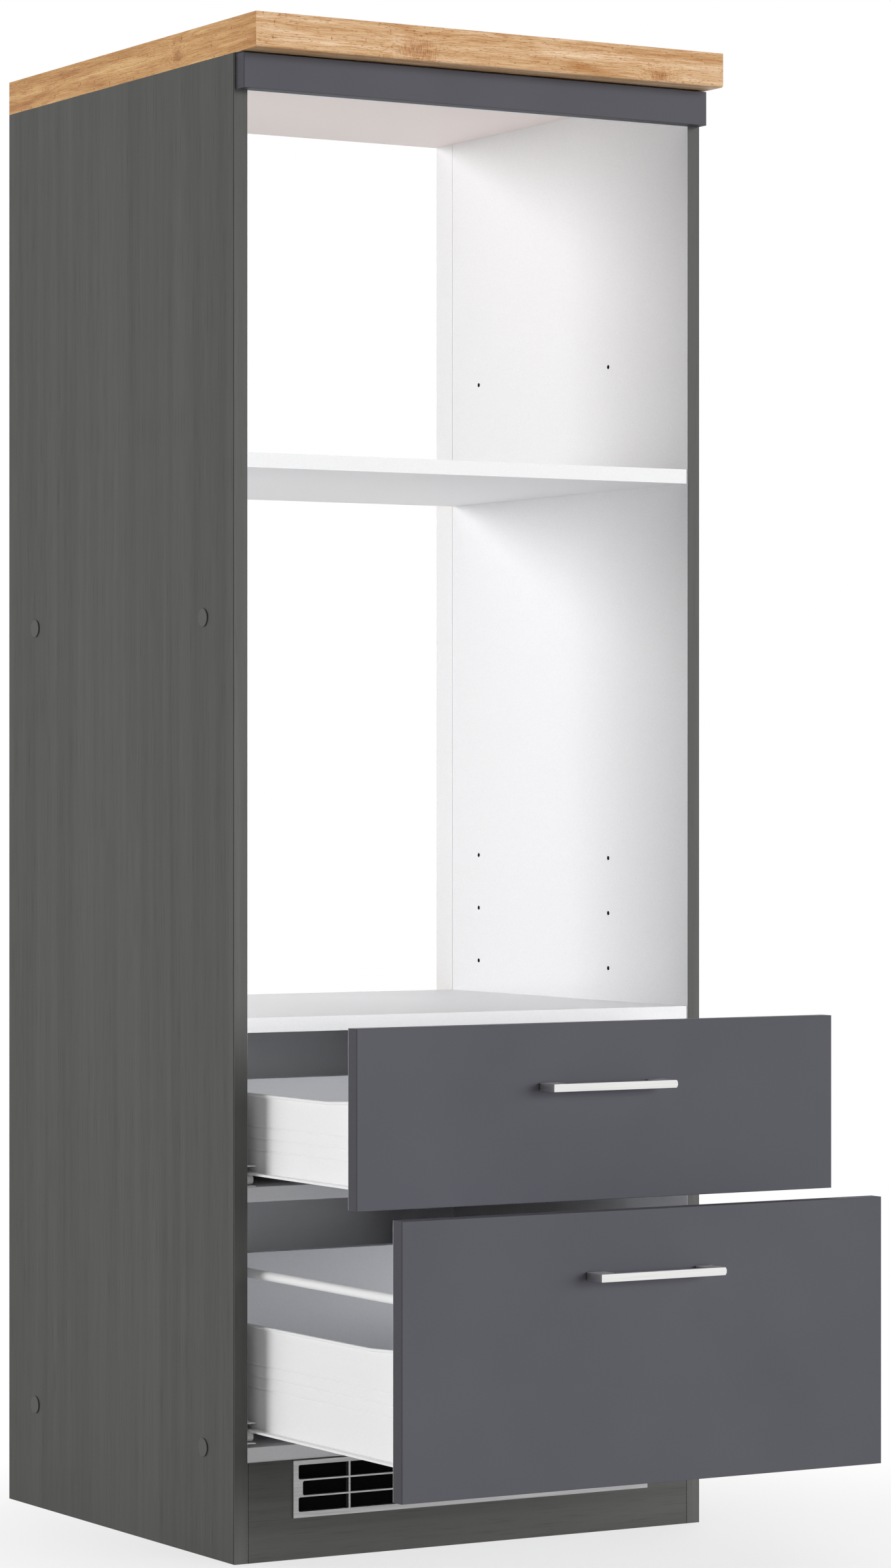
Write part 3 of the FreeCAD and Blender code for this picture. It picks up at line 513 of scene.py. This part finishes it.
slim = {"shank_radius": 1.75, "head_radius": 3.5, "head_height": 1.4}
stout = {"shank_radius": 2.0, "head_radius": 4.0, "head_height": 2.4}
board_screw = turned_screw("board_screw", shank_length=12.5, **slim)
fascia_screw = turned_screw("fascia_screw", shank_length=28, **slim)
handle_screw = turned_screw("handle_screw", shank_length=30, **stout)
low, high = box_mm("top_front_rail")
end_inset = 60
height = (low.z + box_mm("fascia_panel")[1].z) / 2
places = [((x, high.y, height), (0, -1, 0)) for x in (low.x + end_inset, 0, high.x - end_inset)]
piece = set_copies("fascia_pan_head_screws", fascia_screw, places)
finish_piece(piece, zinc, "cabinet", "zinc_steel", "fascia_screws")


# Worktop brackets: two bent angles of galvanised sheet under the slab, one on each side, with a screw up
# into the worktop and one out into the side.

dress(zinc, "worktop_brackets")
low, high = box_mm("worktop_brackets")
zinc_sheet = 1.5
from_corner = (high.z - low.z + zinc_sheet) / 2
middle_y = (low.y + high.y) / 2
top_seat, side_seat = high.z - zinc_sheet, high.x - zinc_sheet
places = [((side * (high.x - from_corner), middle_y, top_seat), (0, 0, 1)) for side in (-1, 1)]
places += [((side * side_seat, middle_y, high.z - from_corner), (side, 0, 0)) for side in (-1, 1)]
piece = set_copies("bracket_pan_head_screws", board_screw, places)
finish_piece(piece, zinc, "cabinet", "zinc_steel", "worktop_bracket_screws")


# Plinth: a board between the sides in the graphite decor, its grain lying along the width, with a
# cut-out for the ventilation grille whose edges show the bare chipboard; within 1.1 mm of its two ends it
# carries near-black painted shade, standing in for the shadow in the joints with the sides.

# The melamine of the sides, with level streaks and clearer pores.
plinth, tree, place = new_material("graphite_melamine_plinth")
low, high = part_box("plinth_board")
front_film, rear_film, joint_shade_width = 0.0004, 0.0003, 0.0011
axes = add_node(tree, "ShaderNodeSeparateXYZ", {"Vector": place})
outward = add_node(tree, "ShaderNodeMath", {0: axes.outputs["X"]}, operation="ABSOLUTE")
decor, decor_relief = graphite_grain(tree, place, (0.025, 1, 1), 1.0)
inside_board = add_node(tree, "ShaderNodeMath", {0: axes.outputs["Y"], 1: low.y + front_film},
                        operation="GREATER_THAN")
rear_skin = add_node(tree, "ShaderNodeMath", {0: axes.outputs["Y"], 1: high.y - rear_film},
                     operation="GREATER_THAN")
in_joint_shade = add_node(tree, "ShaderNodeMath", {0: outward, 1: high.x - joint_shade_width}, operation="GREATER_THAN")
cut_faces = add_node(tree, "ShaderNodeMix", {0: inside_board, 6: decor, 7: bare_chipboard(tree, place)},
                     data_type="RGBA")
colour = add_node(tree, "ShaderNodeMix", {0: rear_skin, 6: cut_faces, 7: decor}, data_type="RGBA")
# Painted shade: within 1.1 mm of each end the plinth is near-black, as the shadow in the joints with the
# sides.
colour = add_node(tree, "ShaderNodeMix", {0: in_joint_shade, 6: colour, 7: linear("#141413")}, data_type="RGBA")
finish_material(tree, colour, decor_relief, 0.05, (0.74, 0.6), Specular_IOR_Level=0.15)
dress(plinth, "plinth_board")


# Ventilation grille: punched aluminium, clear anodised, with a fine satin brush along its length, clipped
# into the plinth's cut-out.

# Satin anodising: a pale grey metal with soft broad reflections; the brush is drawn at 0.8 mm, coarser than
# the real one, so that it shows.
aluminium, tree, place = new_material("satin_anodised_aluminium")
grid = add_node(tree, "ShaderNodeMapping", {"Vector": place, "Scale": (0.013, 1, 1)})
brush = add_node(tree, "ShaderNodeTexNoise", {"Vector": grid, "Scale": 1000 / 0.8, "Detail": 2.0})
colour = add_node(tree, "ShaderNodeValToRGB", {"Fac": brush}, [(0.3, "#B0B0B0"), (0.7, "#C3C3C3")])
finish_material(tree, colour, brush, 0.01, (0.5, 0.4), Metallic=1.0)
dress(aluminium, "plinth_vent_grille")


# Filter mesh: a thin black fleece of matted fibres, glued behind the grille, that lets the air through and
# keeps dust and insects out.

# Polyester fleece: a deep dull black with a nap of 1 mm fibres.
fleece, tree, place = new_material("black_filter_fleece")
nap = add_node(tree, "ShaderNodeTexNoise", {"Vector": place, "Scale": 1000 / 1.0, "Detail": 4.0,
                                            "Distortion": 2.0})
colour = add_node(tree, "ShaderNodeValToRGB", {"Fac": nap}, [(0.3, "#030303"), (0.7, "#090909")])
finish_material(tree, colour, nap, 0.2, (1.0, 0.9), Specular_IOR_Level=0.1)
dress(fleece, "plinth_vent_mesh")


# Runners: white powder-coated steel tracks rolled to a C from 1.2 mm sheet, with three screws each into the
# sides and a riveted axle for the front roller.

# Powder coat: a clean bright white, baked to a soft sheen with a faint orange peel of 1.6 mm.
white_steel, tree, place = new_material("white_powder_coated_steel")
peel = add_node(tree, "ShaderNodeTexNoise", {"Vector": place, "Scale": 1000 / 1.6, "Detail": 2.0})
colour = add_node(tree, "ShaderNodeValToRGB", {"Fac": peel}, [(0.3, "#F7F7F7"), (0.7, "#FBFBFB")])
finish_material(tree, colour, peel, 0.015, (0.42, 0.34), Specular_IOR_Level=0.3)
levels = ("upper", "lower")
white_sheet, end_inset = 1.2, 34
places = []
for level in levels:
    dress(white_steel, f"{level}_left_runner", f"{level}_right_runner")
    low, high = box_mm(f"{level}_right_runner")
    middle = (low + high) / 2
    seat = high.x - white_sheet
    rows = (low.y + end_inset, middle.y, high.y - end_inset)
    places += [((side * seat, y, middle.z), (side, 0, 0)) for side in (-1, 1) for y in rows]
piece = set_copies("runner_pan_head_screws", board_screw, places)
finish_piece(piece, zinc, "cabinet", "zinc_steel", "runner_screws")
dress(zinc, "runner_roller_axles")


# Rollers: moulded white nylon wheels with a rounded tread, a dished web and a hub on a riveted pin; small
# ones at the front of the runners and larger ones at the rear of the drawers.

# Nylon: a milky warm white with soft clouds of 2 mm from the mould and a waxy sheen.
nylon, tree, place = new_material("white_moulded_nylon")
flow = add_node(tree, "ShaderNodeTexNoise", {"Vector": place, "Scale": 1000 / 2, "Detail": 2.0})
colour = add_node(tree, "ShaderNodeValToRGB", {"Fac": flow}, [(0.3, "#E6E5E0"), (0.7, "#EEEDE9")])
finish_material(tree, colour, flow, 0.02, (0.44, 0.36))


def moulded_roller(node):
    """A wheel in the place of its CAD node, turning on an axle along X."""
    low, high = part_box(node)
    middle = (low + high) / 2
    width, radius = high.x - low.x, (high.z - low.z) / 2
    bore, hub, rim = 0.00208, 0.0034, radius - 0.001
    shoulder, dish = 0.0006, 0.0012
    bpy.ops.mesh.primitive_cylinder_add(vertices=48, radius=radius, depth=width, location=middle,
                                        rotation=(0, math.pi / 2, 0))
    wheel = start_piece(f"{node}_wheel")

    def on_shoulder(point):
        return abs(point.x - middle.x) > width * 0.49 and (point - middle).yz.length > radius * 0.99

    pick_edges(on_shoulder)
    bpy.ops.mesh.bevel(offset=shoulder, segments=3, affect="EDGES")
    pick_faces(lambda centre, normal: abs(normal.x) > 0.9)
    bpy.ops.mesh.inset(thickness=radius - shoulder - rim)
    bpy.ops.mesh.extrude_region_shrink_fatten(TRANSFORM_OT_shrink_fatten={"value": -dish})
    bpy.ops.mesh.inset(thickness=rim - hub)
    bpy.ops.mesh.extrude_region_shrink_fatten(TRANSFORM_OT_shrink_fatten={"value": dish})
    bpy.ops.mesh.inset(thickness=hub - bore)
    bpy.ops.mesh.delete(type="FACE")
    pick_edges(lambda point: (point - middle).yz.length < bore * 1.1)
    bpy.ops.mesh.bridge_edge_loops()
    bpy.ops.object.mode_set(mode="OBJECT")
    finish_piece(wheel, nylon, node, "white_plastic", node)


for level in levels:
    for hand in ("left", "right"):
        for end in ("front", "rear"):
            moulded_roller(f"{level}_{hand}_{end}_roller")


# Drawer boxes: white powder-coated steel walls with pressed ribs and a rolled rim, hooked to the front by
# galvanised brackets, with a white melamine base and back board screwed to the walls' flanges and tabs.

# White melamine: the same pearl as the shelves, a shade cooler.
drawer_board, tree, place = new_material("white_melamine_drawer_board")
white, white_relief = white_pearl(tree, place, "#F0F1F5", "#F4F5F9")
finish_material(tree, white, white_relief, 0.02, (0.5, 0.4), Specular_IOR_Level=0.25)
base_inset, bracket_inset, tab_inset = 14, 11.8, 12
base_end_inset, bracket_end_inset = 80, 12
for level in levels:
    body = f"{level}_drawer"
    dress(white_steel, f"{body}_left_wall", f"{body}_right_wall")
    dress(drawer_board, f"{body}_base", f"{body}_back")
    dress(zinc, f"{body}_front_brackets", f"{body}_roller_axles")
    low, high = box_mm(f"{body}_base")
    bracket_low, bracket_high = box_mm(f"{body}_front_brackets")
    rows = (low.y + base_end_inset, (low.y + high.y) / 2, high.y - base_end_inset)
    heights = (bracket_low.z + bracket_end_inset, bracket_high.z - bracket_end_inset)
    bracket_x, bracket_y = bracket_high.x - bracket_inset, bracket_low.y + zinc_sheet
    base_x, base_z = high.x - base_inset, low.z - white_sheet
    tab_x, tab_y = high.x - tab_inset, high.y + white_sheet
    places = []
    for side in (-1, 1):
        places += [((side * base_x, y, base_z), (0, 0, 1)) for y in rows]
        places += [((side * bracket_x, bracket_y, z), (0, -1, 0)) for z in heights]
        places += [((side * tab_x, tab_y, z), (0, -1, 0)) for z in heights]
    piece = set_copies(f"{body}_pan_head_screws", board_screw, places)
    finish_piece(piece, zinc, body, "zinc_steel", f"{body}_screws")


# Gallery rails of the lower drawer: white powder-coated steel tubes that keep tall things in, held at both
# ends by moulded white sockets on the front and on the back board.

dress(white_steel, "lower_drawer_left_gallery_rail", "lower_drawer_right_gallery_rail")
dress(nylon, "lower_drawer_rail_sockets")


# Drawer fronts: 18 mm boards in matt anthracite foil with eased edges, hung on the walls' brackets; soft
# clear pads on the back meet the cabinet's edges.

# Silicone: clear but a little cloudy, with a wet gloss.
clear_pad, tree, place = new_material("clear_silicone")
haze = add_node(tree, "ShaderNodeTexNoise", {"Vector": place, "Scale": 1000 / 1.5, "Detail": 1.0})
colour = add_node(tree, "ShaderNodeValToRGB", {"Fac": haze}, [(0.3, "#D5D9DA"), (0.7, "#E2E5E5")])
finish_material(tree, colour, haze, 0.02, (0.26, 0.16), Transmission_Weight=0.5, IOR=1.41)
pad_radius, pad_thickness, pad_round = 0.004, 0.0017, 0.0013
bpy.ops.mesh.primitive_cylinder_add(vertices=24, radius=pad_radius, depth=pad_thickness,
                                    location=(0, 0, pad_thickness / 2))
pad = start_piece("silicone_pad")
pick_edges(lambda point: point.z > pad_thickness * 0.9)
bpy.ops.mesh.bevel(offset=pad_round, segments=5, affect="EDGES")
bpy.ops.object.mode_set(mode="OBJECT")
side_inset, end_inset = 6, 12
for level in levels:
    body = f"{level}_drawer"
    dress(anthracite_foil(f"{body}_front"), f"{body}_front")
    low, high = box_mm(f"{body}_front")
    heights = (low.z + end_inset, high.z - end_inset)
    places = [((side * (high.x - side_inset), high.y, z), (0, 1, 0)) for side in (-1, 1) for z in heights]
    piece = set_copies(f"{body}_silicone_pads", pad, places)
    finish_piece(piece, clear_pad, body, "clear_bumper", f"{body}_bumpers")


# Bow handles: flat stainless bars brushed along their length, with two broad feet on thin black spacers,
# held by screws from inside the drawer. The right end is rounded, the left end is cut square.

# Brushed stainless: a bright metal whose fine lines stretch the reflections; drawn at 0.7 mm so that they
# show.
stainless, tree, place = new_material("brushed_stainless_steel")
grid = add_node(tree, "ShaderNodeMapping", {"Vector": place, "Scale": (0.01, 1, 1)})
brush = add_node(tree, "ShaderNodeTexNoise", {"Vector": grid, "Scale": 1000 / 0.7, "Detail": 3.0})
colour = add_node(tree, "ShaderNodeValToRGB", {"Fac": brush}, [(0.3, "#E6E6E4"), (0.7, "#F2F2F0")])
finish_material(tree, colour, brush, 0.004, (0.44, 0.32), Metallic=1.0)

# Moulded black plastic: a deep dull black with the fine spark texture of its mould.
black_plastic, tree, place = new_material("black_moulded_plastic")
spark = add_node(tree, "ShaderNodeTexNoise", {"Vector": place, "Scale": 1000 / 0.8, "Detail": 2.0})
colour = add_node(tree, "ShaderNodeValToRGB", {"Fac": spark}, [(0.3, "#101010"), (0.7, "#181818")])
finish_material(tree, colour, spark, 0.02, (0.55, 0.45))


def bow_handle(node, name):
    """The bar, its two feet pulled back to the spacers, and the rounded right end."""
    low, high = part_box(node)
    bar_depth, foot_width, bulge, edge_round = 0.006, 0.0205, 0.0017, 0.0004
    square_end = high.x - bulge
    grip = high.x - foot_width
    middle = (low.z + high.z) / 2
    half_height = (high.z - low.z) / 2
    centre = ((low.x + square_end) / 2, low.y + bar_depth / 2, middle)
    bpy.ops.mesh.primitive_cube_add(size=1, location=centre,
                                    scale=(square_end - low.x, bar_depth, half_height * 2))
    bow = start_piece(name)
    for x in (-grip, grip):
        bpy.ops.mesh.select_all(action="SELECT")
        bpy.ops.mesh.bisect(plane_co=(x, 0, 0), plane_no=(1, 0, 0))
    pick_faces(lambda centre, normal: normal.y > 0.9 and abs(centre.x) > grip)
    foot = high.y - low.y - bar_depth
    bpy.ops.mesh.extrude_region_move(TRANSFORM_OT_translate={"value": (0, foot, 0)})
    pick_faces(lambda centre, normal: normal.x > 0.9 and centre.x > square_end - bulge)
    nose_radius = (half_height ** 2 + bulge ** 2) / (2 * bulge)
    reached, tall = 0.0, half_height
    for share in (0.3, 0.6, 0.85, 0.97):
        out = nose_radius - bulge + share * bulge
        new_tall = math.sqrt(nose_radius ** 2 - out ** 2)
        bpy.ops.mesh.extrude_region_move(TRANSFORM_OT_translate={"value": (share * bulge - reached, 0, 0)})
        bpy.ops.transform.resize(value=(1, 1, new_tall / tall), center_override=(square_end, 0, middle))
        reached, tall = share * bulge, new_tall
    bpy.ops.object.mode_set(mode="OBJECT")
    apply_modifier(bow, "BEVEL", width=edge_round, segments=2, limit_method="ANGLE",
                   angle_limit=math.radians(50))
    return bow


screw_reach = 64
for level in levels:
    body = f"{level}_drawer"
    bow = bow_handle(f"{body}_handle", f"{body}_bow_handle")
    finish_piece(bow, stainless, body, "stainless_steel", f"{body}_handle")
    dress(black_plastic, f"{body}_handle_spacers")
    low, high = box_mm(f"{body}_handle")
    rear = box_mm(f"{body}_front")[1].y
    places = [((x, rear, (low.z + high.z) / 2), (0, -1, 0)) for x in (-screw_reach, screw_reach)]
    piece = set_copies(f"{body}_handle_pan_head_screws", handle_screw, places)
    finish_piece(piece, zinc, body, "zinc_steel", f"{body}_handle_screws")
for pattern in (board_screw, fascia_screw, handle_screw, pad):
    bpy.data.objects.remove(pattern)


# Studio: a pale floor that runs out to white, broad soft lamps around the cabinet, and the camera at the
# height of the oven niche, standing to the left of the front.

def seen_directly(tree):
    """1 for rays from the camera, a gloss or a glass, and 0 for the light that falls on the cabinet."""
    rays = add_node(tree, "ShaderNodeLightPath").outputs
    seen = add_node(tree, "ShaderNodeMath", {0: rays["Is Camera Ray"], 1: rays["Is Glossy Ray"]},
                    operation="MAXIMUM")
    return add_node(tree, "ShaderNodeMath", {0: seen, 1: rays["Is Transmission Ray"]}, operation="MAXIMUM")


# Pale floor: a soft shadow close to the cabinet, where it is partly matt, and pure white further off.
floor_white, tree, place = new_material("pale_studio_floor")
shadow_reach, white_reach, least_white = 0.32, 0.85, 0.7
floor_size, floor_drop = 14, 0.0005
away = add_node(tree, "ShaderNodeVectorMath", {0: place}, operation="LENGTH").outputs["Value"]
fade = add_node(tree, "ShaderNodeMapRange", {"Value": away, "From Min": shadow_reach, "From Max": white_reach,
                                             "To Min": least_white})
shown = add_node(tree, "ShaderNodeMath", {0: seen_directly(tree), 1: fade}, operation="MULTIPLY")
matt = add_node(tree, "ShaderNodeBsdfPrincipled", {"Base Color": linear("#FAFAFA"), "Roughness": 0.7})
white_out = add_node(tree, "ShaderNodeEmission", {"Color": linear("#FFFFFF"), "Strength": 1.0})
surface = add_node(tree, "ShaderNodeMixShader", {0: shown, 1: matt, 2: white_out})
add_node(tree, "ShaderNodeOutputMaterial", {"Surface": surface})
bpy.ops.mesh.primitive_plane_add(size=floor_size, location=(0, 0, -floor_drop))
floor = bpy.context.object
floor.name = "studio_floor"
floor.data.materials.append(floor_white)

world = bpy.data.worlds.new("white_studio")
bpy.context.scene.world = world
world.use_nodes = True
tree = world.node_tree
tree.nodes.clear()
ambient = add_node(tree, "ShaderNodeBackground", {"Color": linear("#FFFFFF"), "Strength": 0.03})
backdrop = add_node(tree, "ShaderNodeBackground", {"Color": linear("#FFFFFF"), "Strength": 1.0})
surface = add_node(tree, "ShaderNodeMixShader", {0: seen_directly(tree), 1: ambient, 2: backdrop})
add_node(tree, "ShaderNodeOutputWorld", {"Surface": surface})

# Each lamp's azimuth from the front towards the right, elevation and spread in degrees, and its strength.
lamps = {
    "front": (22, 8, 24, 1.95),
    "right_front": (45, 8, 24, 0.85),
    "right_back": (135, 5, 40, 1.6),
    "far_left_back": (215, 7, 30, 0.85),
    "left_back": (231, 7, 24, 1.8),
    "overhead": (0, 85, 60, 0.6),
}
for name, (azimuth, elevation, spread, strength) in lamps.items():
    bpy.ops.object.light_add(type="SUN")
    lamp = bpy.context.object
    lamp.name = f"{name}_light"
    lamp.data.energy = strength
    lamp.data.angle = math.radians(spread)
    lamp.visible_glossy = False
    lamp.rotation_euler = (math.radians(90 - elevation), 0, math.radians(azimuth))

# The lens and the shift follow from the photograph's pixels: its size, the focal length, and the point where
# the camera's axis meets it.
photo_width, photo_height = 1360, 2394
focal_pixels, axis_column, axis_row = 7288.6, 520, 1200.91
standpoint, heading, sensor = (-2.7465, -4.4973, 0.8347), math.radians(-29.821), 36
bpy.ops.object.camera_add(location=standpoint, rotation=(math.pi / 2, 0, heading))
camera = bpy.context.object
camera.data.sensor_width = sensor
camera.data.lens = focal_pixels * sensor / photo_height
camera.data.shift_x = (photo_width / 2 - axis_column) / photo_height
camera.data.shift_y = (axis_row - photo_height / 2) / photo_height
bpy.context.scene.camera = camera
bpy.context.scene.view_settings.view_transform = "Standard"
